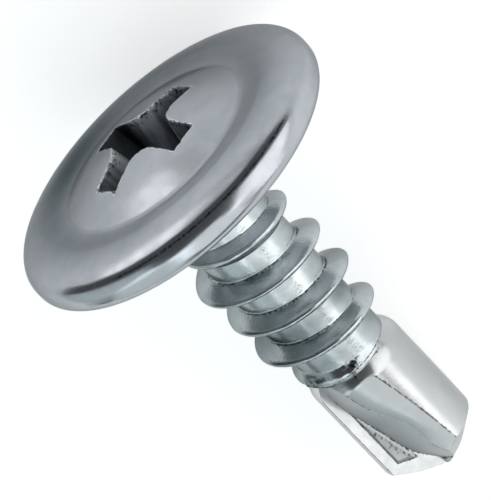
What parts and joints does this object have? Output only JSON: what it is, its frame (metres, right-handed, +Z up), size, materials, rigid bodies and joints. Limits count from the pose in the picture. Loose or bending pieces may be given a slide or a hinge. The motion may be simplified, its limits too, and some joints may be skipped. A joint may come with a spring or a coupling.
{
  "type": "self-drilling screw",
  "caption": "Self-drilling screw with a wide wafer head, a cross recess, a coarse tapping thread and a fluted drill point, lying on its side.",
  "frame": {"origin": "centre of the bounding box's bottom face, on the surface the screw lies on", "axes": "+Z up; the screw's axis lies in the XZ plane, with the head towards -X and raised, and the drill point towards +X"},
  "size_m": [0.0152, 0.0108, 0.0104],
  "materials": {
    "zinc": "bright zinc plating, slightly blue, satin on the head and shiny on the shank"
  },
  "bodies": {
    "root": {"self_drilling_screw": "zinc"}
  },
  "joints": []
}
